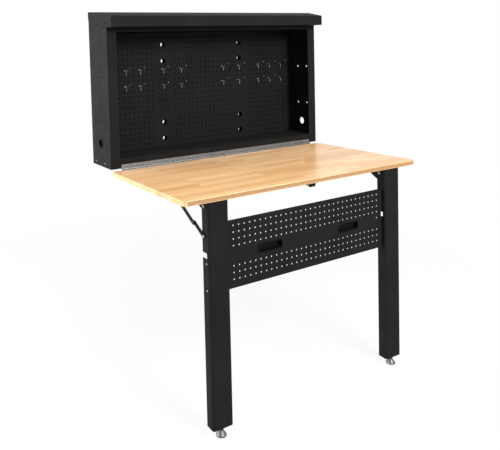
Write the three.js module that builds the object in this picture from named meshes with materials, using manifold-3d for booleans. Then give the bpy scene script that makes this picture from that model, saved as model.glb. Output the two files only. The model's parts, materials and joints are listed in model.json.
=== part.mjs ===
// Wall mounted folding workbench: a shallow wall cabinet with a pegboard back and a canopy, a wooden
// top on a piano hinge that swings up to close the cabinet, and a leg frame that folds behind the top
// on two pivot bolts and two jointed stays.
// Millimetres, +Z up. X runs along the wall, the wall is the plane Y = 0 and the room lies at -Y.
// The cabinet is drawn from its bottom edge, the top from the hinge axis and the legs from the pivot
// axis. The origin of the finished bench is the middle of the face that meets the wall.
import * as THREE from 'three';
import { mergeVertices } from 'three/addons/utils/BufferGeometryUtils.js';
import Module from 'manifold-3d';

// Clearances and sheet
const SEAT = 0.3; // gap where two pieces rest on each other
const RUN = 0.5; // gap where two pieces move past each other
const SHEET = 1.5;

// Cabinet
const CAB_W = 1200;
const CAB_D = 200;
const CAB_H = 622; // from the cabinet's bottom edge to the canopy's lower edge
const WALL_LAP = 38; // how far the walls run up inside the canopy
const FLANGE_W = 46; // front return of each side wall
const FLOOR_H = 43;
const TOP_TRAY_H = 20;
const BACK_FLANGE = 18;
const CABLE_HOLE_D = 50;
const CABLE_HOLE_Y = 97; // from the wall
const CABLE_HOLE_Z = 104;
const SHELF_HOLE_D = 8;
const SHELF_HOLE_Y = [70, 138]; // from the wall
const SHELF_HOLE_Z = [206, 404];

// Wall mounting holes, in two columns
const MOUNT_MID = 312; // height of their middle above the cabinet's bottom edge
const MOUNT_X = 228.6;
const MOUNT_Z = [-230, -150, 150, 230];
const MOUNT_HOLE_D = 20;
const DRIVER_HOLE_D = 26; // in the pegboard, opposite each mounting hole

// Pegboard and its hooks
const PEG_STANDOFF = 28; // front face from the wall
const PEG_W = 1120;
const PEG_PITCH = 25.4;
const PEG_HOLE_D = 6.5;
const PEG_HOLE_SIDES = 5;
const PEG_TOP_ROW = 550;
const HOOK_COLUMNS = [-17, -14, -9, -5, 5, 9, 14, 17, 20]; // in pitches from the middle
const HOOK_ROWS = [5, 8]; // in pitches below the top row
const HOOK_WIRE_D = 4;
const HOOK_STEM = 24;
const HOOK_REACH = 42;
const HOOK_RISE = 8;
const HOOK_TIP = 11;
const HOOK_PRONG = 6; // length behind the pegboard's front face

// Canopy
const CANOPY_REACH = 57; // in front of the cabinet
const CANOPY_FRONT_H = 48;
const CANOPY_KNEE_H = 68;
const CANOPY_REAR_H = 78;
const CANOPY_KNEE = 162; // fold between its two slopes, from the wall
const CANOPY_LIP = 34;
const CANOPY_REAR_LIP = 20;
const CANOPY_RAKE = 12; // slant of its cheeks' rear edges

// Piano hinge
const LEAF_T = 1.5;
const LEAF_H = 16;
const KNUCKLE_R = 4.5;
const KNUCKLES = 16;
const KNUCKLE_SIDES = 6;
const HINGE_PIN_R = 2.4;
const HINGE_END = 4; // from each end of the hinge to the wall's flange
const HINGE_DROP = 3; // axis below the cabinet's bottom edge

// Wooden top
const TOP_T = 20;
const TOP_OVERLAP = 3; // beyond the cabinet at each end
const TOP_DROP = 3; // top face below the hinge axis
const TOP_CORNER_R = 14;
const TOP_EDGE_R = 3;
const CLOSE_GAP = 4.2; // from the closed top to the canopy

// Legs
const LEG_W = 90;
const LEG_D = 45;
const LEG_T = 2;
const LEG_CORNER_R = 10;
const LEG_INSET = 142; // from the cabinet's end to the leg's middle
const LEG_SETBACK = 6; // behind the top's front edge
const LEG_DROP = 826; // from the pivot to the leg's lower end
const LEG_TOP_GAP = 1;
const PIVOT_BACK = 29; // behind the leg's front face
const LEG_FOLD_GAP = 3; // from a folded leg to the underside of the top
const PIVOT_BOLT_R = 4;
const PIVOT_HEAD_R = 8;
const PIVOT_HEAD_H = 5;
const PIVOT_NUT_R = 7;
const PIVOT_NUT_H = 6;
const ACCESS_HOLE_D = 7;
const ACCESS_HOLE_Z = [-210, -309]; // below the pivot
const ACCESS_HOLE_Y = -8;

// Pivot brackets under the top
const BRACKET_T = 2.5;
const BRACKET_FRONT = 16; // in front of the pivot
const BRACKET_REAR = 45;
const BRACKET_DROP = 18;
const BRACKET_HEEL = 2; // height of the rear edge's lower corner above the pivot
const BRACKET_NOSE = 8;

// Jointed stays on the legs' outer sides
const STAY_REACH = 180; // upper pin behind the pivot
const STAY_DROP = 110; // lower pin below the pivot
const STAY_W = 16;
const STAY_T = 3;
const STAY_SPACE = 3; // between the two links
const STAY_PIN_R = 3.5;
const STAY_HEAD_R = 6;
const STAY_HEAD_H = 2.2;
const STAY_BRACKET_W = 18;
const STAY_BRACKET_FOOT = 28;
const NOTCH_CLEAR = 1; // leg notch past the stay bracket on each side
const NOTCH_D = 30;

// Perforated panel between the legs
const PANEL_RECESS = 20; // behind the legs' front faces
const PANEL_TOP = 73; // below the pivot
const PANEL_H = 252;
const PANEL_FLANGE = 18;
const PANEL_PITCH = 25.4;
const PANEL_COLUMNS = 31;
const PANEL_FULL_ROWS = [0, 1, 2, 3, 6, 7, 8];
const PANEL_END_ROW = 4; // row with one hole, at the right end
const PANEL_FIRST_ROW = 16; // below the panel's top edge
const PANEL_HOLE_D = 6.5;
const PANEL_HOLE_SIDES = 5;
const PANEL_END_SLOT = 8;

// Recessed pulls in the panel
const PULL_X = 208;
const PULL_DROP = 127; // middle below the panel's top edge
const PULL_W = 115;
const PULL_H = 33;
const PULL_R = 8;
const PULL_RIM = 3;
const PULL_RIM_T = 1.2;
const PULL_DEPTH = 18;
const PULL_WALL = 2;

// Levelling feet
const FOOT_BACK = 18; // behind the leg's front face
const FOOT_D = 40;
const FOOT_DROP = 36; // below the leg's lower end
const FOOT_RIM_H = 6;
const FOOT_BELL_H = 13;
const FOOT_COLLAR_R = 9;
const FOOT_COLLAR_H = 5;
const FOOT_STEM_R = 5;
const FOOT_STEM_UP = 34; // above the leg's lower end
const FOOT_PLATE_T = 4;

// Sliding latch under the front edge of the top
const LATCH_BACK = 6; // behind the front edge
const LATCH_L = 46;
const LATCH_FLANGE_W = 46;
const LATCH_GUIDE_W = 20;
const LATCH_GUIDE_H = 14;
const LATCH_WALL = 2;
const BOLT_SETBACK = 2;
const BOLT_L = 48;
const BOLT_TRAVEL = 16;
const BOLT_NOSE = 5;
const BOLT_KNOB_R = 5;
const BOLT_STEM_R = 2.8;
const BOLT_KNOB_DROP = 7;

// Places that follow from the sizes above
const halfW = CAB_W / 2;
const wallInner = halfW - SHEET;
const flangeInner = halfW - FLANGE_W;
const wallTop = CAB_H + WALL_LAP;
const rearLip = CAB_H + CANOPY_REAR_H - CANOPY_REAR_LIP;
const hinge = { y: -CAB_D - SEAT - KNUCKLE_R, z: -HINGE_DROP };
const topRear = -KNUCKLE_R - SEAT;
const topDepth = CAB_H - CLOSE_GAP - hinge.z + topRear;
const topFront = topRear - topDepth;
const underside = -TOP_DROP - TOP_T;
const legReach = LEG_D - PIVOT_BACK;
const pivotDrop = legReach + LEG_FOLD_GAP;
const pivot = { y: topFront + LEG_SETBACK + PIVOT_BACK, z: underside - pivotDrop };
const legFront = -PIVOT_BACK;
const legX = halfW - LEG_INSET;
const legInner = legX - LEG_W / 2;
const stayAngle = Math.atan2(STAY_DROP, STAY_REACH);
const staySpan = Math.hypot(STAY_DROP, STAY_REACH);
const upperLink = (staySpan + STAY_REACH - STAY_DROP) / 2;
const lowerLink = staySpan - upperLink;
const stayLayer1 = legX + LEG_W / 2 + RUN;
const stayLayer2 = stayLayer1 + STAY_T + STAY_SPACE;
const notchH = STAY_BRACKET_W + 2 * NOTCH_CLEAR;
const boltTop = underside - SEAT - RUN;
const boltBottom = underside - SEAT - LATCH_GUIDE_H + LATCH_WALL + RUN;
const boltHalf = LATCH_GUIDE_W / 2 - LATCH_WALL - RUN;

const wasm = await Module();
wasm.setup();

// Finishes
const finish = (color, roughness, metalness) => ({ color, roughness, metalness });
const BLACK_PAINT = finish(0x26272a, 0.45, 0.3);
const ZINC = finish(0xb9bcbf, 0.35, 0.9);
const CHROME = finish(0xd8dadd, 0.15, 1);
const WOOD = finish(0xd9a066, 0.4, 0);
const BLACK_PLASTIC = finish(0x151617, 0.6, 0);

// A closed three.js geometry as a solid that can be joined and cut
function solid(geometry) {
  geometry.deleteAttribute('normal');
  geometry.deleteAttribute('uv');
  const merged = mergeVertices(geometry, 1e-4);
  const corners = Array.from(merged.index.array);
  const triVerts = [];
  for (let i = 0; i < corners.length; i += 3) {
    const [a, b, c] = corners.slice(i, i + 3);
    if (a !== b && b !== c && c !== a) triVerts.push(a, b, c);
  }
  return new wasm.Manifold(new wasm.Mesh({
    numProp: 3,
    vertProperties: new Float32Array(merged.attributes.position.array),
    triVerts: new Uint32Array(triVerts),
  }));
}

const union = (first, ...rest) => rest.reduce((sum, next) => sum.add(next), first);
const cut = (first, ...rest) => rest.reduce((left, next) => left.subtract(next), first);

// A named mesh of a solid, added to a group
function piece(group, name, body, look, place = [0, 0, 0], turnX = 0) {
  const mesh = body.getMesh();
  const geometry = new THREE.BufferGeometry();
  geometry.setAttribute('position', new THREE.BufferAttribute(new Float32Array(mesh.vertProperties), 3));
  geometry.setIndex(new THREE.BufferAttribute(new Uint32Array(mesh.triVerts), 1));
  geometry.computeVertexNormals();
  const result = new THREE.Mesh(geometry, new THREE.MeshStandardMaterial(look));
  result.name = name;
  result.position.set(...place);
  result.rotation.x = turnX;
  group.add(result);
}

// A box between two corners given as ranges along X, Y and Z
function box([x0, x1], [y0, y1], [z0, z1]) {
  const geometry = new THREE.BoxGeometry(Math.abs(x1 - x0), Math.abs(y1 - y0), Math.abs(z1 - z0));
  geometry.translate((x0 + x1) / 2, (y0 + y1) / 2, (z0 + z1) / 2);
  return solid(geometry);
}

// Extrusions: along X from an outline in (y, z), along Y from (x, z) and along Z from (x, y)
const AXES = {
  X: new THREE.Matrix4().makeBasis(
    new THREE.Vector3(0, 1, 0), new THREE.Vector3(0, 0, 1), new THREE.Vector3(1, 0, 0)),
  Y: new THREE.Matrix4().makeBasis(
    new THREE.Vector3(1, 0, 0), new THREE.Vector3(0, 0, 1), new THREE.Vector3(0, -1, 0)),
  Z: new THREE.Matrix4(),
};

function extrude(axis, shape, from, to, options = {}) {
  const low = Math.min(from, to);
  const high = Math.max(from, to);
  const settings = { depth: high - low, bevelEnabled: false, curveSegments: 3, ...options };
  const geometry = new THREE.ExtrudeGeometry(shape, settings);
  geometry.applyMatrix4(AXES[axis]);
  if (axis === 'X') geometry.translate(low, 0, 0);
  if (axis === 'Y') geometry.translate(0, high, 0);
  if (axis === 'Z') geometry.translate(0, 0, low);
  return solid(geometry);
}

const outline = (points) => new THREE.Shape(points.map(([u, v]) => new THREE.Vector2(u, v)));

// Round outlines with a stated number of sides: a peg's corners lie on its circle, and a bore's sides
// touch its circle from outside, so that a peg fits its bore at any number of sides
function ring(u, v, radius, sides) {
  const points = [];
  for (let i = 0; i < sides; i += 1) {
    const angle = (2 * Math.PI * (i + 0.5)) / sides;
    points.push(new THREE.Vector2(u + radius * Math.cos(angle), v + radius * Math.sin(angle)));
  }
  return points;
}

const peg = (u, v, radius, sides) => new THREE.Shape(ring(u, v, radius, sides));
const bore = (u, v, radius, sides) => peg(u, v, radius / Math.cos(Math.PI / sides), sides);

// A line of corners and the same line offset to its left
function offsetLine(points, thickness) {
  const line = points.map(([u, v]) => new THREE.Vector2(u, v));
  const left = (a, b) => {
    const d = b.clone().sub(a).normalize();
    return new THREE.Vector2(-d.y, d.x);
  };
  const inner = line.map((p, i) => {
    const before = i > 0 ? left(line[i - 1], p) : left(p, line[i + 1]);
    const after = i < line.length - 1 ? left(p, line[i + 1]) : before;
    const middle = before.clone().add(after);
    return p.clone().add(middle.multiplyScalar((2 * thickness) / middle.lengthSq()));
  });
  return { line, inner };
}

// The outline of bent sheet or wire
function bentSheet(points, thickness = SHEET) {
  const { line, inner } = offsetLine(points, thickness);
  return new THREE.Shape([...line, ...inner.reverse()]);
}

function roundedRect(u0, u1, v0, v1, radius) {
  const shape = new THREE.Shape();
  shape.moveTo(u0 + radius, v0);
  shape.absarc(u1 - radius, v0 + radius, radius, -Math.PI / 2, 0, false);
  shape.absarc(u1 - radius, v1 - radius, radius, 0, Math.PI / 2, false);
  shape.absarc(u0 + radius, v1 - radius, radius, Math.PI / 2, Math.PI, false);
  shape.absarc(u0 + radius, v0 + radius, radius, Math.PI, 1.5 * Math.PI, false);
  return shape;
}

// A turned piece on the X or Z axis from (radius, distance) pairs that start and end on the axis
function turned(axis, profile, sides) {
  const geometry = new THREE.LatheGeometry(profile.map(([r, d]) => new THREE.Vector2(r, d)), sides);
  if (axis === 'X') geometry.rotateZ(-Math.PI / 2);
  else geometry.rotateX(Math.PI / 2);
  return solid(geometry);
}

const bench = new THREE.Group();
bench.position.z = -MOUNT_MID;
const cabinet = new THREE.Group();
const table = new THREE.Group();
table.position.set(0, hinge.y, hinge.z);
const legs = new THREE.Group();
legs.position.set(0, pivot.y, pivot.z);
bench.add(cabinet, table);
table.add(legs);

const SIDES = [['left', -1], ['right', 1]];
const MOUNT_HOLES = MOUNT_Z.flatMap((z) => [-MOUNT_X, MOUNT_X].map((x) => [x, MOUNT_MID + z]));

// Rear sheet against the wall, with forward flanges along the side walls
function rearSheet() {
  const half = wallInner - SEAT;
  const reach = -SHEET - BACK_FLANGE;
  const high = rearLip - SEAT;
  const mountHoles = MOUNT_HOLES.map(([x, z]) => bore(x, z, MOUNT_HOLE_D / 2, 8));
  const flangeEnds = [[-1, FLOOR_H + SEAT], [CAB_H - TOP_TRAY_H - SEAT, high + 1]];
  return cut(
    box([-half, half], [reach, 0], [0, high]),
    box([-half + SHEET, half - SHEET], [reach - 1, -SHEET], [-1, high + 1]),
    ...flangeEnds.map((range) => box([-half - 1, half + 1], [reach - 1, -SHEET], range)),
    extrude('Y', mountHoles, -SHEET - 1, 1));
}

// Pegboard pan: a perforated front with flanges turned back to the rear sheet
function pegboard() {
  const half = PEG_W / 2;
  const low = FLOOR_H + SEAT;
  const high = CAB_H - TOP_TRAY_H - SEAT;
  const front = -PEG_STANDOFF;
  const prongHole = (column, row) => bore(
    column * PEG_PITCH, PEG_TOP_ROW - row * PEG_PITCH, PEG_HOLE_D / 2, PEG_HOLE_SIDES);
  const prongHoles = HOOK_ROWS.flatMap((row) => HOOK_COLUMNS.flatMap(
    (column) => [prongHole(column - 0.5, row), prongHole(column + 0.5, row)]));
  const driverHoles = MOUNT_HOLES.map(([x, z]) => bore(x, z, DRIVER_HOLE_D / 2, 8));
  return cut(
    box([-half, half], [front, -SHEET - SEAT], [low, high]),
    box([-half + SHEET, half - SHEET], [front + SHEET, 0], [low + SHEET, high - SHEET]),
    extrude('Y', [...prongHoles, ...driverHoles], front - 1, front + SHEET + 1));
}

// Side wall with its front return, cable hole and shelf holes
function sideWall(s) {
  const profile = bentSheet(s > 0
    ? [[flangeInner, -CAB_D], [halfW, -CAB_D], [halfW, 0]]
    : [[-halfW, 0], [-halfW, -CAB_D], [-flangeInner, -CAB_D]]);
  const drill = (y, z, diameter, sides) => extrude(
    'X', bore(-y, z, diameter / 2, sides), s * (wallInner - 1), s * (halfW + 1));
  const shelfHoles = SHELF_HOLE_Z.flatMap((z) => SHELF_HOLE_Y.map((y) => drill(y, z, SHELF_HOLE_D, 8)));
  return cut(
    extrude('Z', profile, 0, wallTop), drill(CABLE_HOLE_Y, CABLE_HOLE_Z, CABLE_HOLE_D, 20), ...shelfHoles);
}

// A tray turned upside down between the walls, its front lip flush with the walls' front returns
function tray(top, height) {
  const half = wallInner - SEAT;
  const rear = -SHEET - SEAT;
  const bottom = top - height;
  const behindReturns = [-1, 1].map((s) => box(
    [s * (flangeInner - SEAT), s * (half + 1)], [-CAB_D - 1, -CAB_D + SHEET + SEAT],
    [bottom - 1, top + 1]));
  return cut(
    box([-half, half], [-CAB_D, rear], [bottom, top]),
    box([-half + SHEET, half - SHEET], [-CAB_D + SHEET, rear - SHEET], [bottom - 1, top - SHEET]),
    ...behindReturns);
}

// Canopy: one folded sheet with two cheeks, and a slot for the latch in its lower lip
function canopy() {
  const half = halfW + SEAT + SHEET;
  const front = -CAB_D - CANOPY_REACH;
  const top = CAB_H + CANOPY_REAR_H;
  const knee = CAB_H + CANOPY_KNEE_H;
  const brow = CAB_H + CANOPY_FRONT_H;
  const { inner } = offsetLine([
    [0, rearLip], [0, top], [-CANOPY_KNEE, knee], [front, brow], [front, CAB_H],
    [front + CANOPY_LIP, CAB_H]], SHEET);
  const hollow = inner.map((p) => [p.x, p.y]);
  hollow.push([front + CANOPY_LIP, CAB_H - 1], [1, CAB_H - 1], [1, rearLip]);
  const whole = outline([[0, CAB_H], [0, top], [-CANOPY_KNEE, knee], [front, brow], [front, CAB_H]]);
  const rake = outline([[-CANOPY_RAKE, CAB_H - 1], [1, CAB_H - 1], [1, rearLip]]);
  const latchSlot = box(
    [-boltHalf - 1, boltHalf + 1], [hinge.y + boltTop + 1, hinge.y + boltBottom - 1],
    [CAB_H - 1, CAB_H + SHEET + 1]);
  return cut(
    extrude('X', whole, -half, half), extrude('X', outline(hollow), -half + SHEET, half - SHEET),
    extrude('X', rake, -half - 1, half + 1), latchSlot);
}

// Wire hook with two prongs in neighbouring holes, a stem down the board and an upturned arm
function hook() {
  const d = HOOK_WIRE_D;
  const face = -PEG_STANDOFF - SEAT;
  const half = (PEG_PITCH + d) / 2;
  const back = -PEG_STANDOFF + HOOK_PRONG;
  const tip = face - HOOK_REACH;
  const fork = bentSheet([[-half, back], [-half, face - d], [half, face - d], [half, back]], d);
  const arm = bentSheet([
    [face, -HOOK_STEM], [face, d / 2 + 0.2], [tip, HOOK_RISE], [tip - d / 2, HOOK_RISE + HOOK_TIP]], d);
  return union(
    extrude('Z', fork, -d / 2, d / 2), extrude('X', arm, -d * 0.45, d * 0.45));
}

// One leaf of the piano hinge, drawn about the hinge axis: side +1 stands on the cabinet's rail with
// its knuckles at even places, side -1 hangs on the top's rear edge with its knuckles at odd places
function hingeLeaf(side) {
  const length = 2 * (flangeInner - HINGE_END);
  const step = length / KNUCKLES;
  const seat = side * KNUCKLE_R;
  const face = seat - side * LEAF_T;
  const root = side * (KNUCKLE_R + SEAT);
  const edge = [[-length / 2, side * (KNUCKLE_R + LEAF_H)], [length / 2, side * (KNUCKLE_R + LEAF_H)]];
  const teeth = [];
  const barrels = [];
  for (let i = side > 0 ? 0 : 1; i < KNUCKLES; i += 2) {
    const low = -length / 2 + i * step + SEAT / 2;
    const high = low + step - SEAT;
    teeth.push([low, root], [low, side * LEAF_T], [high, side * LEAF_T], [high, root]);
    barrels.push(extrude('X', peg(0, 0, KNUCKLE_R, KNUCKLE_SIDES), low, high));
  }
  const comb = outline([...edge, [length / 2, root], ...teeth.reverse(), [-length / 2, root]]);
  return cut(
    union(extrude('Y', comb, seat, face), ...barrels),
    extrude('X', bore(0, 0, HINGE_PIN_R + SEAT, KNUCKLE_SIDES), -halfW, halfW));
}

function hingePin() {
  const half = flangeInner - HINGE_END;
  return turned('X', [[0, -half], [HINGE_PIN_R, -half], [HINGE_PIN_R, half], [0, half]], KNUCKLE_SIDES);
}

// Wooden top with rounded corners and eased edges
function woodenTop() {
  const half = halfW + TOP_OVERLAP - TOP_EDGE_R;
  const shape = roundedRect(
    -half, half, topFront + TOP_EDGE_R, topRear - TOP_EDGE_R, TOP_CORNER_R - TOP_EDGE_R);
  return extrude('Z', shape, underside + TOP_EDGE_R, -TOP_DROP - TOP_EDGE_R, {
    bevelEnabled: true, bevelThickness: TOP_EDGE_R, bevelSize: TOP_EDGE_R, bevelSegments: 2,
  });
}

// Leg, drawn about the pivot axis: a channel open to the rear with rounded front corners, its flange
// tops rounded about the pivot, and notches that pass over the stay brackets when it is folded
function leg(s) {
  const w = LEG_W / 2;
  const r = LEG_CORNER_R;
  const top = pivotDrop - LEG_TOP_GAP;
  const channel = new THREE.Shape();
  channel.moveTo(-w, legReach);
  channel.absarc(-w + r, legFront + r, r, Math.PI, 1.5 * Math.PI, false);
  channel.absarc(w - r, legFront + r, r, 1.5 * Math.PI, 2 * Math.PI, false);
  channel.lineTo(w, legReach);
  channel.lineTo(w - LEG_T, legReach);
  channel.absarc(w - r, legFront + r, r - LEG_T, 2 * Math.PI, 1.5 * Math.PI, true);
  channel.absarc(-w + r, legFront + r, r - LEG_T, 1.5 * Math.PI, Math.PI, true);
  channel.lineTo(-w + LEG_T, legReach);
  const side = new THREE.Shape();
  side.moveTo(legFront - 1, -LEG_DROP);
  side.lineTo(legReach + 1, -LEG_DROP);
  side.lineTo(legReach + 1, top * Math.sin(Math.acos(legReach / top)));
  side.absarc(0, 0, top, Math.acos(legReach / top), Math.PI / 2, false);
  side.lineTo(legFront - 1, top);
  const notch = box(
    [-w - 1, w + 1], [legReach - NOTCH_D, legReach + 2],
    [-STAY_REACH - notchH / 2, -STAY_REACH + notchH / 2]);
  const pivotHole = extrude('X', bore(0, 0, PIVOT_BOLT_R + SEAT, 8), -w - 1, w + 1);
  const outer = [s * (w - LEG_T - 1), s * (w + 1)];
  const stayHole = extrude('X', bore(0, -STAY_DROP, STAY_PIN_R + SEAT, 8), ...outer);
  const accessHoles = ACCESS_HOLE_Z.map((z) => extrude(
    'X', bore(ACCESS_HOLE_Y, z, ACCESS_HOLE_D / 2, 8), ...outer));
  return cut(
    extrude('Z', channel, -LEG_DROP - 1, top + 1).intersect(extrude('X', side, -w - 1, w + 1)),
    notch, pivotHole, stayHole, ...accessHoles);
}

// Pivot bracket inside the leg's channel, screwed to the underside of the top
function pivotBracket() {
  const half = LEG_W / 2 - LEG_T - RUN;
  const top = pivotDrop - SEAT;
  const section = bentSheet(
    [[half, -BRACKET_DROP], [half, top], [-half, top], [-half, -BRACKET_DROP]], BRACKET_T);
  const side = outline([
    [-BRACKET_FRONT, top + 1], [-BRACKET_FRONT, -BRACKET_DROP + BRACKET_NOSE],
    [-BRACKET_FRONT + BRACKET_NOSE, -BRACKET_DROP], [BRACKET_NOSE, -BRACKET_DROP],
    [BRACKET_REAR, BRACKET_HEEL], [BRACKET_REAR, top + 1]]);
  const pivotHole = extrude('X', bore(0, 0, PIVOT_BOLT_R + SEAT, 8), -half - 1, half + 1);
  const folded = extrude('Y', section, -BRACKET_FRONT - 1, BRACKET_REAR + 1);
  return cut(folded.intersect(extrude('X', side, -half - 1, half + 1)), pivotHole);
}

// Pivot bolt through the leg and its bracket, head on the outer side, nut on the inner side
function pivotBolt(s) {
  const grip = LEG_W / 2 + SEAT;
  const profile = [
    [0, -grip - PIVOT_NUT_H], [PIVOT_NUT_R, -grip - PIVOT_NUT_H], [PIVOT_NUT_R, -grip],
    [PIVOT_BOLT_R, -grip], [PIVOT_BOLT_R, grip], [PIVOT_HEAD_R, grip],
    [PIVOT_HEAD_R * 0.9, grip + PIVOT_HEAD_H * 0.6], [PIVOT_HEAD_R * 0.4, grip + PIVOT_HEAD_H],
    [0, grip + PIVOT_HEAD_H]];
  return turned('X', s > 0 ? profile : profile.map(([r, d]) => [r, -d]).reverse(), 10);
}

// Bracket for a stay's upper pin: a tongue beside the leg and a foot under the top
function stayBracket(s) {
  const top = pivotDrop - SEAT;
  const r = STAY_BRACKET_W / 2;
  const outerX = stayLayer1 + STAY_T;
  const corners = [[outerX, -r - 1], [outerX, top], [outerX - STAY_BRACKET_FOOT, top]];
  const section = bentSheet(s > 0 ? corners : corners.map(([x, z]) => [-x, z]).reverse(), STAY_T);
  const side = new THREE.Shape();
  side.moveTo(r, top + 1);
  side.lineTo(-r, top + 1);
  side.absarc(0, 0, r, Math.PI, 2 * Math.PI, false);
  const across = [s * (outerX - STAY_BRACKET_FOOT - 1), s * (outerX + 1)];
  return cut(
    extrude('Y', section, -r - 1, r + 1).intersect(extrude('X', side, ...across)),
    extrude('X', bore(0, 0, STAY_PIN_R + SEAT, 8), ...across));
}

// Flat link with round ends, a hole at its start and, where asked, one at its far end
function stayLink(layer, s, length, direction, farHole) {
  const r = STAY_W / 2;
  const shape = new THREE.Shape();
  const far = direction * length;
  shape.absarc(Math.max(0, far), 0, r, -Math.PI / 2, Math.PI / 2, false);
  shape.absarc(Math.min(0, far), 0, r, Math.PI / 2, 1.5 * Math.PI, false);
  shape.holes = [bore(0, 0, STAY_PIN_R + SEAT, 8)];
  if (farHole) shape.holes.push(bore(far, 0, STAY_PIN_R + SEAT, 8));
  return extrude('X', shape, s * layer, s * (layer + STAY_T));
}

// Turned pin along X from a list of [radius, length] steps, starting at a distance from the middle
function steppedPin(s, start, steps) {
  const profile = [[0, start]];
  let at = start;
  for (const [radius, length] of steps) {
    profile.push([radius, at], [radius, at + length]);
    at += length;
  }
  profile.push([0, at]);
  return turned('X', s > 0 ? profile : profile.map(([r, d]) => [r, -d]).reverse(), 8);
}

// Perforated panel with turned edges, two openings for the pulls and a slot at each end
function legPanel() {
  const half = legInner - SEAT;
  const front = legFront + PANEL_RECESS;
  const back = front + PANEL_FLANGE;
  const top = -PANEL_TOP;
  const bottom = top - PANEL_H;
  const at = (column, row) => bore(
    (column - (PANEL_COLUMNS - 1) / 2) * PANEL_PITCH, top - PANEL_FIRST_ROW - row * PANEL_PITCH,
    PANEL_HOLE_D / 2, PANEL_HOLE_SIDES);
  const columns = Array.from({ length: PANEL_COLUMNS }, (_, column) => column);
  const fullRows = PANEL_FULL_ROWS.flatMap((row) => columns.map((column) => at(column, row)));
  const pullHoles = SIDES.map(([, s]) => pullOutline(s, 0));
  const holes = [...fullRows, at(PANEL_COLUMNS - 1, PANEL_END_ROW), ...pullHoles];
  const slot = [-STAY_REACH - notchH / 2, -STAY_REACH + notchH / 2];
  const endSlots = [-1, 1].map((s) => box(
    [s * (half - PANEL_END_SLOT), s * (half + 1)], [front - 1, back + 1], slot));
  return cut(
    box([-half, half], [front, back], [bottom, top]),
    box([-half + SHEET, half - SHEET], [front + SHEET, back + 1], [bottom + SHEET, top - SHEET]),
    extrude('Y', holes, front - 1, front + SHEET + 1), ...endSlots);
}

// Outline of a pull's opening in the panel, grown by an amount on every side
function pullOutline(s, grow) {
  const middle = -PANEL_TOP - PULL_DROP;
  return roundedRect(
    s * PULL_X - PULL_W / 2 - grow, s * PULL_X + PULL_W / 2 + grow,
    middle - PULL_H / 2 - grow, middle + PULL_H / 2 + grow, PULL_R + grow);
}

// Recessed pull: a rim in front of the panel and a pocket behind it
function pullCup(s) {
  const face = legFront + PANEL_RECESS - SEAT;
  const back = face + PULL_DEPTH;
  return cut(
    union(
      extrude('Y', pullOutline(s, PULL_RIM), face - PULL_RIM_T, face),
      extrude('Y', pullOutline(s, -SEAT), face - PULL_RIM_T / 2, back)),
    extrude('Y', pullOutline(s, -SEAT - PULL_WALL), face - PULL_RIM_T - 1, back - PULL_WALL));
}

// Plate across the leg's lower end, with the thread for the foot
function footPlate() {
  const half = LEG_W / 2 - LEG_T - SEAT;
  const front = legFront + LEG_T + SEAT;
  const r = LEG_CORNER_R - LEG_T;
  const shape = new THREE.Shape();
  shape.moveTo(half, legReach);
  shape.lineTo(-half, legReach);
  shape.absarc(-half + r, front + r, r, Math.PI, 1.5 * Math.PI, false);
  shape.absarc(half - r, front + r, r, 1.5 * Math.PI, 2 * Math.PI, false);
  shape.holes = [bore(0, legFront + FOOT_BACK, FOOT_STEM_R + SEAT, 10)];
  return extrude('Z', shape, -LEG_DROP, -LEG_DROP + FOOT_PLATE_T);
}

// Levelling foot: a turned bell with an adjusting collar on a stem
function foot() {
  const low = -LEG_DROP - FOOT_DROP;
  const r = FOOT_D / 2;
  const rim = low + FOOT_RIM_H;
  const bell = rim + FOOT_BELL_H;
  const collar = bell + FOOT_COLLAR_H;
  const top = -LEG_DROP + FOOT_STEM_UP;
  return turned('Z', [
    [0, low], [r - 1.5, low], [r, low + 1.5], [r, rim], [FOOT_COLLAR_R, bell],
    [FOOT_COLLAR_R, collar], [FOOT_STEM_R, collar], [FOOT_STEM_R, top], [0, top]], 14);
}

// Latch guide: a hat section under the top with a slot for the bolt's knob
function latchGuide() {
  const top = underside - SEAT;
  const flange = LATCH_FLANGE_W / 2;
  const guide = LATCH_GUIDE_W / 2;
  const inner = guide - LATCH_WALL;
  const low = top - LATCH_GUIDE_H;
  const section = outline([
    [-flange, top], [-flange, top - LATCH_WALL], [-guide, top - LATCH_WALL], [-guide, low], [guide, low],
    [guide, top - LATCH_WALL], [flange, top - LATCH_WALL], [flange, top], [inner, top],
    [inner, low + LATCH_WALL], [-inner, low + LATCH_WALL], [-inner, top]]);
  const front = topFront + LATCH_BACK;
  const knob = topFront + BOLT_SETBACK + BOLT_L / 2;
  const slotHalf = BOLT_STEM_R + RUN;
  const slot = box(
    [-slotHalf, slotHalf], [knob - BOLT_TRAVEL - slotHalf, knob + slotHalf],
    [low - 1, low + LATCH_WALL + 1]);
  return cut(extrude('Y', section, front, front + LATCH_L), slot);
}

// Latch bolt with a bevelled nose and a knob below
function latchBolt() {
  const front = topFront + BOLT_SETBACK;
  const side = outline([
    [front, boltTop], [front + BOLT_NOSE, boltBottom], [front + BOLT_L, boltBottom],
    [front + BOLT_L, boltTop]]);
  const bar = extrude('X', side, -boltHalf, boltHalf);
  const low = boltBottom - LATCH_WALL - BOLT_KNOB_DROP;
  const knob = turned('Z', [
    [0, low], [BOLT_KNOB_R * 0.7, low], [BOLT_KNOB_R, low + BOLT_KNOB_R * 0.5],
    [BOLT_KNOB_R * 0.7, low + BOLT_KNOB_R], [BOLT_STEM_R, low + BOLT_KNOB_R],
    [BOLT_STEM_R, boltBottom + 1], [0, boltBottom + 1]], 8);
  return union(bar, knob.translate([0, front + BOLT_L / 2, 0]));
}

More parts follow.
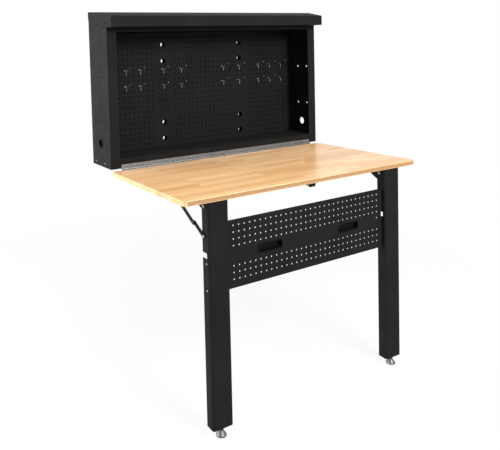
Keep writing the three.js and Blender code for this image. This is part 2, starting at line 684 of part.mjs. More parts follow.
piece(cabinet, 'rear_sheet', rearSheet(), BLACK_PAINT);
piece(cabinet, 'pegboard', pegboard(), BLACK_PAINT);
piece(cabinet, 'floor_tray', tray(FLOOR_H, FLOOR_H), BLACK_PAINT);
piece(cabinet, 'top_tray', tray(CAB_H - SEAT, TOP_TRAY_H), BLACK_PAINT);
piece(cabinet, 'canopy', canopy(), BLACK_PAINT);
piece(cabinet, 'hinge_leaf_cabinet', hingeLeaf(1), ZINC, [0, hinge.y, hinge.z]);
piece(cabinet, 'hinge_pin', hingePin(), ZINC, [0, hinge.y, hinge.z]);
HOOK_ROWS.forEach((row, i) => HOOK_COLUMNS.forEach((column, k) => piece(
  cabinet, `hook_${i + 1}_${k + 1}`, hook(), CHROME,
  [column * PEG_PITCH, 0, PEG_TOP_ROW - row * PEG_PITCH])));

piece(table, 'wooden_top', woodenTop(), WOOD);
piece(table, 'hinge_leaf_top', hingeLeaf(-1), ZINC);
piece(table, 'latch_guide', latchGuide(), BLACK_PAINT);
piece(table, 'latch_bolt', latchBolt(), ZINC);
piece(legs, 'leg_panel', legPanel(), BLACK_PAINT);

const pivotY = pivot.y;
for (const [name, s] of SIDES) {
  const x = s * legX;
  const upperPin = [0, pivotY + STAY_REACH, pivot.z];
  piece(cabinet, `side_wall_${name}`, sideWall(s), BLACK_PAINT);
  piece(table, `pivot_bracket_${name}`, pivotBracket(), BLACK_PAINT, [x, pivotY, pivot.z]);
  piece(table, `stay_bracket_${name}`, stayBracket(s), BLACK_PAINT, upperPin);
  piece(table, `stay_pin_upper_${name}`, steppedPin(s, stayLayer1 - SEAT - STAY_HEAD_H, [
    [STAY_HEAD_R, STAY_HEAD_H], [STAY_PIN_R, STAY_T + 2 * SEAT], [STAY_HEAD_R, STAY_SPACE - 2 * SEAT],
    [STAY_PIN_R, STAY_T + 2 * SEAT], [STAY_HEAD_R, STAY_HEAD_H]]), ZINC, upperPin);
  piece(table, `stay_link_upper_${name}`, stayLink(stayLayer2, s, upperLink, -1, true), BLACK_PAINT,
    upperPin, stayAngle);
  piece(table, `stay_rivet_${name}`, steppedPin(s, stayLayer1 + STAY_T + SEAT, [
    [STAY_HEAD_R, STAY_SPACE - 2 * SEAT], [STAY_PIN_R, STAY_T + 2 * SEAT], [STAY_HEAD_R, STAY_HEAD_H]]),
    ZINC, [0, upperPin[1] - upperLink * Math.cos(stayAngle), upperPin[2] - upperLink * Math.sin(stayAngle)]);
  piece(legs, `leg_${name}`, leg(s), BLACK_PAINT, [x, 0, 0]);
  piece(legs, `pivot_bolt_${name}`, pivotBolt(s), ZINC, [x, 0, 0]);
  piece(legs, `foot_plate_${name}`, footPlate(), BLACK_PAINT, [x, 0, 0]);
  piece(legs, `foot_${name}`, foot(), CHROME, [x, legFront + FOOT_BACK, 0]);
  piece(legs, `pull_${name}`, pullCup(s), BLACK_PLASTIC);
  piece(legs, `stay_link_lower_${name}`, stayLink(stayLayer1, s, lowerLink, 1, false), BLACK_PAINT,
    [0, 0, -STAY_DROP], stayAngle);
  piece(legs, `stay_pin_lower_${name}`, steppedPin(s, stayLayer1 - RUN - LEG_T - SEAT - STAY_HEAD_H, [
    [STAY_HEAD_R, STAY_HEAD_H], [STAY_PIN_R, LEG_T + RUN + STAY_T + 2 * SEAT],
    [STAY_HEAD_R, STAY_HEAD_H]]), ZINC, [0, 0, -STAY_DROP]);
}

export default bench;
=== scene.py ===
"""Looks of a wall mounted folding workbench: powder-coated steel cabinet, legs and stays, a lacquered
wooden top on a piano hinge, wire hooks and levelling feet. Metres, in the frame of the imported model."""
import json
import math

import bmesh
import bpy
from mathutils import Matrix, Vector


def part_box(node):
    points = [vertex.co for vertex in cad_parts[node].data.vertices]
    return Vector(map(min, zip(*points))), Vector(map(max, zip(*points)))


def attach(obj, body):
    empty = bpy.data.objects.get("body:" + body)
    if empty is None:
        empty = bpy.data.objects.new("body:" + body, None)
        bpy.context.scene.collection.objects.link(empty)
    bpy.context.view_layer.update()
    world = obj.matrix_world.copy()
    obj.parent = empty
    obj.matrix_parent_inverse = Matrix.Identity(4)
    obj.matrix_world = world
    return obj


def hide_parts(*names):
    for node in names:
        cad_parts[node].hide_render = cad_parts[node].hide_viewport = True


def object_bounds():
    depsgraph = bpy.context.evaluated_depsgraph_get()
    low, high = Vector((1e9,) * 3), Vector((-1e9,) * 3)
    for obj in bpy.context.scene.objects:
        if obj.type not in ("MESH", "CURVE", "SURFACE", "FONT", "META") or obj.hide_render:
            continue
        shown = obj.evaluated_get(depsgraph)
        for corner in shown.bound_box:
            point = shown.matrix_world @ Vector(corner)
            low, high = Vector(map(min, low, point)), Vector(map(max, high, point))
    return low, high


bl_info = {
    "name": "Folding Workbench",
    "version": (1, 0, 0),
    "blender": (4, 5, 0),
    "location": "View3D > Sidebar > Workbench",
    "description": "Builds the pieces of a wall mounted folding workbench around its packed frame",
    "category": "Add Mesh",
}

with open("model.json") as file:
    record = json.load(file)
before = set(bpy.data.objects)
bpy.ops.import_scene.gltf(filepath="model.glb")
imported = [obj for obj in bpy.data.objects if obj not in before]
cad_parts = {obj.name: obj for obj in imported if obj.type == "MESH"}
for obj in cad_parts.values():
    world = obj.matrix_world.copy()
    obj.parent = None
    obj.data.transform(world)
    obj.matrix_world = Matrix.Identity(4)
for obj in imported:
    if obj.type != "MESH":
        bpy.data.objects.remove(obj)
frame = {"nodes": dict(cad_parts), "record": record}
CAD_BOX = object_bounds()

SIDES = (("left", -1), ("right", 1))
HINGE_AXIS = Vector((0, -0.2048, -0.315))
PIVOT_AXIS = Vector((0, -0.7906, -0.357))  # of the legs, under the top
STAY_REACH = 0.18  # from the pivot back to a stay's upper pin
STAY_DROP = 0.11  # from the pivot down to a stay's lower pin
STAY_EASE = 0.0005
LEG_X = 0.458
LEG_FRONT = -0.8196
IMAGE_WIDTH, IMAGE_HEIGHT = 500, 450
CUT_AHEAD, CUT_BEHIND = 0.004, 0.006  # reach of a cutting tool before and behind a sheet's front face
PARALLEL = 0.99  # cosine past which two directions count as parallel
BEND_STEPS = 5
NOISE_LOW, NOISE_HIGH = 0.3, 0.7  # where a noise factor mostly lies


class BenchSizes(bpy.types.PropertyGroup):
    """Sizes of the pieces that are modelled here"""

    pitch: bpy.props.FloatProperty(
        name="Hole Pitch", description="Distance between pegboard holes", default=0.0254, unit="LENGTH")
    hole: bpy.props.FloatProperty(
        name="Hole Diameter", description="Diameter of a pegboard hole", default=0.0068, unit="LENGTH")
    panel_hole: bpy.props.FloatProperty(
        name="Panel Hole", description="Diameter of a hole in the leg panel", default=0.006, unit="LENGTH")
    hole_sides: bpy.props.IntProperty(
        name="Hole Sides", description="Facets round a small hole", default=14, min=6)
    mount_hole: bpy.props.FloatProperty(
        name="Bolt Hole", description="Diameter of a wall bolt hole", default=0.026, unit="LENGTH")
    sheet: bpy.props.FloatProperty(
        name="Sheet", description="Thickness of the steel sheet", default=0.0015, unit="LENGTH")
    fold: bpy.props.FloatProperty(
        name="Fold Radius", description="Easing of folded and cut sheet edges", default=0.0006, unit="LENGTH")
    top_corner: bpy.props.FloatProperty(
        name="Top Corner", description="Corner radius of the wooden top", default=0.014, unit="LENGTH")
    top_edge: bpy.props.FloatProperty(
        name="Top Edge", description="Edge radius of the wooden top", default=0.003, unit="LENGTH")
    wire: bpy.props.FloatProperty(
        name="Hook Wire", description="Diameter of the hook wire", default=0.003, unit="LENGTH")
    knuckles: bpy.props.IntProperty(
        name="Knuckles", description="Knuckles of the piano hinge", default=16, min=4)


class BenchColours(bpy.types.PropertyGroup):
    """Colours of the finishes"""

    paint: bpy.props.FloatVectorProperty(
        name="Paint", description="Powder coat", subtype="COLOR", default=(0.0096, 0.0097, 0.0101))
    zinc: bpy.props.FloatVectorProperty(
        name="Zinc", description="Zinc plate", subtype="COLOR", default=(0.19, 0.195, 0.2))
    chrome: bpy.props.FloatVectorProperty(
        name="Chrome", description="Bright plate of the hooks", subtype="COLOR",
        default=(0.36, 0.365, 0.37))
    blackened: bpy.props.FloatVectorProperty(
        name="Blackened Zinc", description="Rivets and upper pins of the stays", subtype="COLOR",
        default=(0.03, 0.03, 0.031))
    steel: bpy.props.FloatVectorProperty(
        name="Turned Steel", description="Levelling feet", subtype="COLOR", default=(0.15, 0.153, 0.158))
    plastic: bpy.props.FloatVectorProperty(
        name="Plastic", description="Moulded pulls and trims", subtype="COLOR",
        default=(0.0022, 0.0022, 0.0024))
    wood_pale: bpy.props.FloatVectorProperty(
        name="Pale Stave", description="Palest staves of the top", subtype="COLOR",
        default=(0.88, 0.58, 0.31))
    wood_warm: bpy.props.FloatVectorProperty(
        name="Warm Stave", description="Darkest staves of the top", subtype="COLOR",
        default=(0.68, 0.375, 0.158))


class BenchStage(bpy.types.PropertyGroup):
    """Light and backdrop"""

    side: bpy.props.FloatProperty(
        name="Side Light", description="Power of the soft light on the left", default=118.0, subtype="POWER")
    overhead: bpy.props.FloatProperty(
        name="Overhead Light", description="Power of the soft light above", default=48.0, subtype="POWER")
    front: bpy.props.FloatProperty(
        name="Front Light", description="Power of the soft light in front", default=160.0, subtype="POWER")
    ambient: bpy.props.FloatProperty(
        name="Ambient", description="Strength of the surrounding light", default=0.35, min=0.0)
    backdrop: bpy.props.FloatVectorProperty(
        name="Floor", description="Matte floor", subtype="COLOR", default=(0.8, 0.8, 0.8))


def only(obj):
    """Make one object the selected and active one."""
    bpy.ops.object.select_all(action="DESELECT")
    obj.select_set(True)
    bpy.context.view_layer.objects.active = obj
    return obj


def settle(name):
    """Name the active object and move its place and size into its mesh."""
    obj = bpy.context.object
    bpy.ops.object.transform_apply(location=True, rotation=True, scale=True)
    obj.name = name
    obj.data.name = name
    return obj


def linked(name, data):
    """A new object in the scene."""
    obj = bpy.data.objects.new(name, data)
    bpy.context.collection.objects.link(obj)
    return obj


def block(name, low, high):
    """A box between two corners, as a start for shaping."""
    bpy.ops.object.select_all(action="DESELECT")
    low, high = Vector(low), Vector(high)
    bpy.ops.mesh.primitive_cube_add(size=1, location=(low + high) / 2)
    bpy.context.object.scale = high - low
    return settle(name)


def rod(name, radius, start, end, sides):
    """A round bar between two points."""
    bpy.ops.object.select_all(action="DESELECT")
    start, end = Vector(start), Vector(end)
    length = end - start
    bpy.ops.mesh.primitive_cylinder_add(
        vertices=sides, radius=radius, depth=length.length, location=(start + end) / 2,
        rotation=length.to_track_quat("Z", "Y").to_euler())
    return settle(name)


def pick(obj, kind, test):
    """Open an object for editing with the faces or edges selected that pass a test."""
    only(obj)
    bpy.ops.object.mode_set(mode="EDIT")
    bpy.ops.mesh.select_mode(type="FACE" if kind == "faces" else "EDGE")
    bpy.ops.mesh.select_all(action="DESELECT")
    mesh = bmesh.from_edit_mesh(obj.data)
    for item in getattr(mesh, kind):
        if test(item):
            item.select_set(True)
    bmesh.update_edit_mesh(obj.data)


def done(obj):
    """Leave edit mode."""
    bpy.ops.object.mode_set(mode="OBJECT")
    return obj


def along(axis):
    """A test for edges that run along one axis."""
    return lambda edge: abs((edge.verts[0].co - edge.verts[1].co).normalized()[axis]) > PARALLEL


def facing(normal):
    """A test for faces that look one way."""
    normal = Vector(normal)
    return lambda face: face.normal.dot(normal) > PARALLEL


def apply(obj, kind, **settings):
    """Add a modifier, set it and apply it."""
    only(obj)
    modifier = obj.modifiers.new(kind.title(), kind)
    for key, value in settings.items():
        setattr(modifier, key, value)
    bpy.ops.object.modifier_apply(modifier=modifier.name)
    return obj


def carve(obj, *tools, operation="DIFFERENCE"):
    """Cut tools out of a piece, or join them to it, and remove the tools."""
    for tool in tools:
        apply(obj, "BOOLEAN", operation=operation, object=tool, solver="EXACT")
        bpy.data.objects.remove(tool)
    return obj


def repeat(obj, count, step):
    """Copies of a tool in a row."""
    return apply(obj, "ARRAY", count=count, use_relative_offset=False, use_constant_offset=True,
                 constant_offset_displace=step)


def smooth(obj, degrees=35):
    """Shade a piece smooth, apart from its sharp edges."""
    only(obj)
    bpy.ops.object.shade_smooth_by_angle(angle=math.radians(degrees))
    return obj


def ease(obj, width, segments=2, degrees=40):
    """Round the sharp edges of a piece, and keep its broad faces flat in shade."""
    apply(obj, "BEVEL", width=width, segments=segments, limit_method="ANGLE",
          angle_limit=math.radians(degrees))
    smooth(obj)
    return apply(obj, "WEIGHTED_NORMAL", keep_sharp=True)


def turned(name, profile, place, axis, steps=24):
    """A turned piece: (radius, distance) pairs spun about an axis through a place."""
    axis, place = Vector(axis), Vector(place)
    across = axis.orthogonal().normalized()
    points = [place + across * r + axis * d for r, d in profile]
    mesh = bpy.data.meshes.new(name)
    mesh.from_pydata(points, [(i, i + 1) for i in range(len(points) - 1)], [])
    obj = only(linked(name, mesh))
    bpy.ops.object.mode_set(mode="EDIT")
    bpy.ops.mesh.select_all(action="SELECT")
    bpy.ops.mesh.spin(steps=steps, angle=2 * math.pi, center=place, axis=axis)
    bpy.ops.mesh.select_all(action="SELECT")
    bpy.ops.mesh.remove_doubles(threshold=1e-6)
    bpy.ops.mesh.normals_make_consistent(inside=False)
    return smooth(done(obj), 30)


def joined(name, objects):
    """Several shells as one piece."""
    bpy.ops.object.select_all(action="DESELECT")
    for obj in objects:
        obj.select_set(True)
    bpy.context.view_layer.objects.active = objects[0]
    if len(objects) > 1:
        bpy.ops.object.join()
    return settle(name)


def bent_wire(name, corners, radius, bend):
    """Round wire through corners, each corner bent to a radius."""
    corners = [Vector(corner) for corner in corners]
    points = [corners[0]]
    for before, corner, after in zip(corners, corners[1:], corners[2:]):
        start = corner + (before - corner).normalized() * bend
        end = corner + (after - corner).normalized() * bend
        for i in range(BEND_STEPS + 1):
            t = i / BEND_STEPS
            points.append(start.lerp(corner, t).lerp(corner.lerp(end, t), t))
    points.append(corners[-1])
    curve = bpy.data.curves.new(name, "CURVE")
    curve.dimensions = "3D"
    curve.bevel_depth = radius
    curve.bevel_resolution = 3
    curve.use_fill_caps = True
    spline = curve.splines.new("POLY")
    spline.points.add(len(points) - 1)
    for target, point in zip(spline.points, points):
        target.co = (*point, 1)
    only(linked(name, curve))
    bpy.ops.object.convert(target="MESH")
    return bpy.context.object


def fit(obj, body, slot, material, *nodes):
    """Hand a finished piece to the frame: its finish, its body and the solids it stands for."""
    obj.data.materials.clear()
    obj.data.materials.append(material)
    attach(obj, body)
    if nodes:
        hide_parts(*nodes)
    return obj


class Finish:
    """A material under construction, with a Principled shader and its own coordinates."""

    def __init__(self, name, roughness, metallic=0.0, specular=0.5):
        self.material = bpy.data.materials.new(name)
        self.material.use_nodes = True
        self.tree = self.material.node_tree
        self.shader = self.tree.nodes["Principled BSDF"]
        self.shader.inputs["Roughness"].default_value = roughness
        self.shader.inputs["Metallic"].default_value = metallic
        self.shader.inputs["Specular IOR Level"].default_value = specular
        self.place = self.node("ShaderNodeTexCoord").outputs["Object"]

    def node(self, kind, settings=None, **inputs):
        """A node with its settings and inputs, where an underscore stands for a space."""
        made = self.tree.nodes.new(kind)
        for key, value in (settings or {}).items():
            setattr(made, key, value)
        for key, value in inputs.items():
            self.feed(made.inputs[key.replace("_", " ")], value)
        return made

    def feed(self, socket, value):
        """Link a socket to an output, or give it a value."""
        if isinstance(value, bpy.types.NodeSocket):
            self.tree.links.new(value, socket)
        else:
            socket.default_value = value

    def noise(self, scale, detail=2.0, vector=None, roughness=0.5):
        return self.node("ShaderNodeTexNoise", Vector=vector or self.place, Scale=scale, Detail=detail,
                         Roughness=roughness).outputs["Fac"]

    def ramp(self, value, low, high):
        """A noise factor mapped to a range."""
        return self.node("ShaderNodeMapRange", Value=value, From_Min=NOISE_LOW, From_Max=NOISE_HIGH,
                         To_Min=low, To_Max=high).outputs["Result"]

    def blend(self, factor, first, second):
        """A colour between two colours."""
        made = self.node("ShaderNodeMix", {"data_type": "RGBA"})
        self.feed(made.inputs[0], factor)
        self.feed(made.inputs[6], first)
        self.feed(made.inputs[7], second)
        return made.outputs[2]

    def grey(self, colour):
        """The brightness of a colour."""
        return self.node("ShaderNodeRGBToBW", Color=colour).outputs["Val"]

    def colour(self, value):
        self.feed(self.shader.inputs["Base Color"], value)

    def rough(self, value):
        self.feed(self.shader.inputs["Roughness"], value)

    def bump(self, height, strength, distance):
        made = self.node("ShaderNodeBump", Strength=strength, Distance=distance, Height=height)
        self.feed(self.shader.inputs["Normal"], made.outputs["Normal"])


def rgba(colour, factor=1.0):
    """A colour made lighter or darker, with full cover."""
    return (*(min(1.0, c * factor) for c in colour), 1.0)


def powder_coat(colour):
    """Satin powder coat: orange-peel bump, slight changes of tone and gloss."""
    finish = Finish("powder_coat", roughness=0.66, specular=0.06)
    tone = finish.ramp(finish.noise(scale=7.0, detail=3.0), 0.0, 1.0)
    finish.colour(finish.blend(tone, rgba(colour, 0.88), rgba(colour, 1.14)))
    finish.rough(finish.ramp(finish.noise(scale=22.0, detail=4.0), 0.6, 0.72))
    finish.bump(finish.noise(scale=1100.0), strength=0.16, distance=0.0004)
    return finish.material


def zinc_plate(name, colour):
    """Zinc plate with the mottled crystals of a dull galvanised surface."""
    finish = Finish(name, roughness=0.46, metallic=0.9)
    flakes = finish.node("ShaderNodeTexVoronoi", Vector=finish.place, Scale=140.0).outputs["Color"]
    finish.colour(finish.blend(finish.grey(flakes), rgba(colour, 0.78), rgba(colour, 1.12)))
    finish.rough(finish.ramp(finish.noise(scale=60.0, detail=3.0), 0.4, 0.56))
    finish.bump(finish.noise(scale=400.0), strength=0.08, distance=0.0003)
    return finish.material


def bright_plate(name, colour, roughness):
    """Bright plate with faint polishing marks."""
    finish = Finish(name, roughness, metallic=1.0)
    tone = finish.ramp(finish.noise(scale=40.0), 0.0, 1.0)
    finish.colour(finish.blend(tone, rgba(colour, 0.93), rgba(colour, 1.05)))
    marks = finish.noise(scale=180.0, detail=3.0)
    finish.rough(finish.ramp(marks, roughness * 0.8, roughness * 1.2))
    return finish.material


def moulded_plastic(colour):
    """Matte moulded plastic with a fine spark-eroded texture."""
    finish = Finish("moulded_plastic", roughness=0.6, specular=0.1)
    tone = finish.ramp(finish.noise(scale=30.0), 0.0, 1.0)
    finish.colour(finish.blend(tone, rgba(colour, 0.9), rgba(colour, 1.2)))
    finish.bump(finish.noise(scale=1500.0, detail=1.0), strength=0.2, distance=0.0003)
    return finish.material


def lacquered_staves(pale, warm):
    """Hardwood staves glued side by side along X, each with its own tone and grain, under clear lacquer."""
    finish = Finish("lacquered_staves", roughness=0.36, specular=0.4)
    finish.shader.inputs["Coat Weight"].default_value = 0.2
    finish.shader.inputs["Coat Roughness"].default_value = 0.12
    black, middle, white = (0, 0, 0, 1), (0.5, 0.5, 0.5, 1), (1, 1, 1, 1)

    def staves(first, second, joint, joint_width):
        bond = {"offset": 0.37, "offset_frequency": 2, "squash": 1.35, "squash_frequency": 3}
        return finish.node(
            "ShaderNodeTexBrick", bond, Vector=finish.place, Color1=first, Color2=second, Mortar=joint,
            Mortar_Size=joint_width, Scale=1.0, Brick_Width=0.31, Row_Height=0.0413, Mortar_Smooth=0.2,
            Bias=0.0).outputs["Color"]

    tint = staves(black, white, middle, 0.0)
    joints = staves(white, white, black, 0.0005)
    shade = finish.grey(tint)
    shift = finish.node("ShaderNodeVectorMath", {"operation": "MULTIPLY_ADD"})
    for socket, value in zip(shift.inputs, (tint, (3.7, 0.9, 1.9), finish.place)):
        finish.feed(socket, value)

    def grain(across, size, detail):
        mapped = finish.node("ShaderNodeMapping", Vector=shift.outputs["Vector"], Scale=(1.0, across, across))
        return finish.ramp(finish.noise(size, detail, mapped.outputs["Vector"], roughness=0.62), 0.0, 1.0)

    broad = grain(16.0, size=4.5, detail=4.0)
    fine = grain(45.0, size=22.0, detail=5.0)
    base = finish.blend(shade, rgba(warm), rgba(pale))
    base = finish.blend(finish.ramp(broad, 0.0, 0.34), base, rgba(warm, 0.86))
    base = finish.blend(finish.ramp(fine, 0.0, 0.22), base, rgba(warm, 0.72))
    finish.colour(finish.blend(finish.grey(joints), rgba(warm, 0.55), base))
    finish.rough(finish.ramp(fine, 0.28, 0.4))
    finish.bump(fine, strength=0.05, distance=0.0003)
    return finish.material


FINISHES = {}


class BENCH_OT_finishes(bpy.types.Operator):
    """Make the paint, plate, plastic and wood"""

    bl_idname = "bench.finishes"
    bl_label = "Finishes"

    def execute(self, context):
        colours = context.scene.bench_colours
        FINISHES["black_paint"] = powder_coat(colours.paint)
        FINISHES["zinc"] = zinc_plate("zinc_plate", colours.zinc)
        FINISHES["blackened"] = zinc_plate("blackened_zinc", colours.blackened)
        FINISHES["chrome"] = bright_plate("bright_plate", colours.chrome, roughness=0.3)
        FINISHES["steel"] = bright_plate("turned_steel", colours.steel, roughness=0.48)
        FINISHES["black_plastic"] = moulded_plastic(colours.plastic)
        FINISHES["wood"] = lacquered_staves(colours.wood_pale, colours.wood_warm)
        slots = {part["node"]: part["material_slot"] for part in frame["record"]["subparts"]}
        for name, node in frame["nodes"].items():
            node.data.materials.clear()
            node.data.materials.append(FINISHES[slots[name]])
        return {"FINISHED"}


def body_of_node(node):
    """The body that carries a node."""
    for body, nodes in frame["record"]["behaviour"]["bodies"].items():
        if node in nodes:
            return body
    raise ValueError(f"no body carries {node}")


def folded_copy(node, slot, width):
    """A piece cut and folded as a solid of the frame, with its sharp edges eased."""
    obj = only(linked(f"{node}_eased", frame["nodes"][node].data.copy()))
    bpy.ops.object.mode_set(mode="EDIT")
    bpy.ops.mesh.select_all(action="SELECT")
    bpy.ops.mesh.remove_doubles(threshold=2e-6)
    bpy.ops.mesh.dissolve_limited(angle_limit=math.radians(0.5))
    ease(done(obj), width)
    return fit(obj, body_of_node(node), slot, FINISHES[slot], node)


class BENCH_OT_cabinet_sheets(bpy.types.Operator):
    """Rear sheet, walls, trays and canopy with eased folds"""

    bl_idname = "bench.cabinet_sheets"
    bl_label = "Cabinet Sheets"

    def execute(self, context):
        fold = context.scene.bench_sizes.fold
        for node in ("rear_sheet", "side_wall_left", "side_wall_right", "floor_tray", "top_tray", "canopy"):
            folded_copy(node, "black_paint", fold)
        return {"FINISHED"}


def drill(diameter, x, z, front, sides):
    """A round cutter through a sheet whose front face is at front."""
    return rod("drill", diameter / 2, (x, front - CUT_AHEAD, z), (x, front + CUT_BEHIND, z), sides)


def hole_block(sizes, diameter, x, z, front, columns, rows):
    """Round cutters for a block of holes whose top left hole is at (x, z)."""
    tool = drill(diameter, x, z, front, sizes.hole_sides)
    repeat(tool, columns, (sizes.pitch, 0, 0))
    return repeat(tool, rows, (0, 0, -sizes.pitch))


def open_pan(name, low, high, sheet):
    """A shallow pan that opens to the rear: a block without its rear face, given the sheet's thickness."""
    obj = block(name, low, high)
    pick(obj, "faces", facing((0, 1, 0)))
    bpy.ops.mesh.delete(type="FACE")
    done(obj)
    return apply(obj, "SOLIDIFY", thickness=sheet, offset=-1, use_even_offset=True)


class BENCH_OT_pegboard(bpy.types.Operator):
    """Pegboard with its blocks of round holes and the wall bolt holes"""

    bl_idname = "bench.pegboard"
    bl_label = "Pegboard"

    TOP_ROW = 0.238
    # A block's first column from the middle and first row from the top row, its columns and its rows
    BLOCKS = ((-6.5, -1, 14, 21), (-20.5, 0, 10, 20), (11.5, 0, 10, 20), (-9.5, 5, 2, 9), (8.5, 5, 2, 9))
    LONE_HOLES_X = (-0.2, 0.258)  # one pitch above the top row
    BOLT_X = 0.2286
    BOLT_Z = (-0.23, -0.15, 0.15, 0.23)
    BOLT_SIDES = 28

    def execute(self, context):
        sizes = context.scene.bench_sizes
        pitch = sizes.pitch
        low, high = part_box("pegboard")
        front = low[1]
        board = open_pan("pegboard_full", low, high, sizes.sheet)
        tools = []
        for column, row, columns, rows in self.BLOCKS:
            place = (column * pitch, self.TOP_ROW - row * pitch)
            tools.append(hole_block(sizes, sizes.hole, *place, front, columns, rows))
        for x in self.LONE_HOLES_X:
            tools.append(drill(sizes.hole, x, self.TOP_ROW + pitch, front, sizes.hole_sides))
        for _, s in SIDES:
            for z in self.BOLT_Z:
                tools.append(drill(sizes.mount_hole, s * self.BOLT_X, z, front, self.BOLT_SIDES))
        carve(board, joined("board_tools", tools))
        smooth(board, 40)
        fit(board, "cabinet", "black_paint", FINISHES["black_paint"], "pegboard")
        return {"FINISHED"}


class BENCH_OT_hooks(bpy.types.Operator):
    """Wire hooks with two prongs, a stem and an upturned arm"""

    bl_idname = "bench.hooks"
    bl_label = "Hooks"

    FORK_HEIGHT = 0.024  # over the hook's lowest point
    FORK_BEND = 0.0032
    PRONG_DEPTH = 0.0055  # behind the board's face
    PRONG_RISE = 0.007
    SEAT = 0.0003  # between the wire and the board
    STEM_DROP = 0.022
    ARM_BEND = 0.005
    ARM_LEAN = 0.003
    ARM_RISE = 0.0075
    TIP_DROP = 0.026  # of the tip's height over the fork, against the hook's whole height

    def execute(self, context):
        sizes = context.scene.bench_sizes
        radius = sizes.wire / 2
        half = sizes.pitch / 2
        places = {}
        for name in (n for n in frame["nodes"] if n.startswith("hook_")):
            low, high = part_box(name)
            places[name] = Vector(((low[0] + high[0]) / 2, 0, low[2] + self.FORK_HEIGHT))
        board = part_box("pegboard")[0][1]
        face, back = board - self.SEAT - radius, board + self.PRONG_DEPTH
        fork = bent_wire("fork", [
            (-half, back, self.PRONG_RISE), (-half, back, 0), (-half, face, 0), (half, face, 0),
            (half, back, 0), (half, back, self.PRONG_RISE)], radius, self.FORK_BEND)
        low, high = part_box("hook_1_1")
        tip = low[1] + radius
        arm = bent_wire("arm", [
            (0, face, -self.STEM_DROP), (0, face, 0), (0, tip + self.ARM_LEAN, self.ARM_RISE),
            (0, tip, high[2] - low[2] - self.TIP_DROP)], radius, self.ARM_BEND)
        pattern = smooth(joined("hook_pattern", [fork, arm]), 60)
        for name, place in places.items():
            hook = linked(f"{name}_wire", pattern.data.copy())
            hook.data.transform(Matrix.Translation(place))
            fit(hook, "cabinet", "chrome", FINISHES["chrome"], name)
        bpy.data.objects.remove(pattern)
        return {"FINISHED"}


# A pan head with a round socket, in shares of its radius and height
PAN_HEAD = ((0, 0.35), (0.34, 0.35), (0.4, 0.95), (0.62, 1), (0.88, 0.72), (1, 0.25), (1, 0), (0, 0))


def screw_heads(name, places, axis, radius, height):
    """Pan heads at their places, as one piece."""
    profile = [(radius * r, height * h) for r, h in PAN_HEAD]
    return joined(name, [turned("head", profile, place, axis, 18) for place in places])


class BENCH_OT_hinge(bpy.types.Operator):
    """Piano hinge: two leaves with alternating knuckles, a pin and screws"""

    bl_idname = "bench.hinge"
    bl_label = "Piano Hinge"

    KNUCKLE, KNUCKLE_SIDES = 0.0045, 20
    BORE, BORE_SIDES = 0.0027, 16
    BORE_OVERRUN = 0.01
    LEAF = 0.0015
    GAP = 0.0003
    PLATE = (0.0048, 0.0205)  # from the axis
    NECK = (0.0015, 0.0055)  # from the axis
    SCREWS = 12
    SCREW_PLACE = 0.0135  # from the axis
    SCREW_RADIUS, SCREW_HEIGHT = 0.0034, 0.0011

    def span(self, low, high, shares, side):
        """A box that lies in a leaf's thickness, between two distances from the axis."""
        seat = HINGE_AXIS.y + side * self.KNUCKLE
        y = sorted((seat, seat - side * self.LEAF))
        z = sorted(HINGE_AXIS.z + side * share for share in shares)
        return (low, y[0], z[0]), (high, y[1], z[1])

    def leaf(self, name, node, side, body, knuckles):
        """A leaf whose plate stands over the axis (side 1) or hangs below it (side -1)."""
        left, right = (corner[0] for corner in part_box(node))
        step = (right - left) / knuckles
        plate = block(name, *self.span(left, right, self.PLATE, side))
        start = left + (0 if side > 0 else step)
        low, high = start + self.GAP / 2, start + step - self.GAP / 2
        neck = block("neck", *self.span(low, high, self.NECK, side))
        line = tuple(HINGE_AXIS.yz)
        barrel = rod("barrel", self.KNUCKLE, (low, *line), (high, *line), self.KNUCKLE_SIDES)
        for part in (neck, barrel):
            repeat(part, knuckles // 2, (2 * step, 0, 0))
        carve(plate, neck, barrel, operation="UNION")
        carve(plate, rod("bore", self.BORE, (left - self.BORE_OVERRUN, *line),
                         (right + self.BORE_OVERRUN, *line), self.BORE_SIDES))
        smooth(plate, 30)
        fit(plate, body, "zinc", FINISHES["zinc"], node)
        face = HINGE_AXIS.y + side * (self.KNUCKLE - self.LEAF)
        places = [(left + (i + 0.5) * (right - left) / self.SCREWS, face,
                   HINGE_AXIS.z + side * self.SCREW_PLACE) for i in range(self.SCREWS)]
        heads = screw_heads(f"{name}_screws", places, (0, -side, 0), self.SCREW_RADIUS, self.SCREW_HEIGHT)
        fit(heads, body, "zinc", FINISHES["zinc"])

    def execute(self, context):
        knuckles = context.scene.bench_sizes.knuckles
        self.leaf("hinge_leaf_upper", "hinge_leaf_cabinet", 1, "cabinet", knuckles)
        self.leaf("hinge_leaf_lower", "hinge_leaf_top", -1, "table", knuckles)
        low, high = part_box("hinge_pin")
        radius, length = (high[2] - low[2]) / 2, high[0] - low[0]
        chamfer = radius * 0.3
        pin = turned("hinge_pin_wire", [
            (0, 0), (radius - chamfer, 0), (radius, chamfer), (radius, length - chamfer),
            (radius - chamfer, length), (0, length)], (low[0], *HINGE_AXIS.yz), (1, 0, 0))
        fit(pin, "cabinet", "zinc", FINISHES["zinc"], "hinge_pin")
        return {"FINISHED"}


class BENCH_OT_wooden_top(bpy.types.Operator):
    """Wooden top with rounded corners and eased edges"""

    bl_idname = "bench.wooden_top"
    bl_label = "Wooden Top"

    def execute(self, context):
        sizes = context.scene.bench_sizes
        top = block("wooden_top_staves", *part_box("wooden_top"))
        pick(top, "edges", along(2))
        bpy.ops.mesh.bevel(offset=sizes.top_corner, segments=10, affect="EDGES")
        ease(done(top), sizes.top_edge, segments=4, degrees=60)
        fit(top, "table", "wood", FINISHES["wood"], "wooden_top")
        return {"FINISHED"}


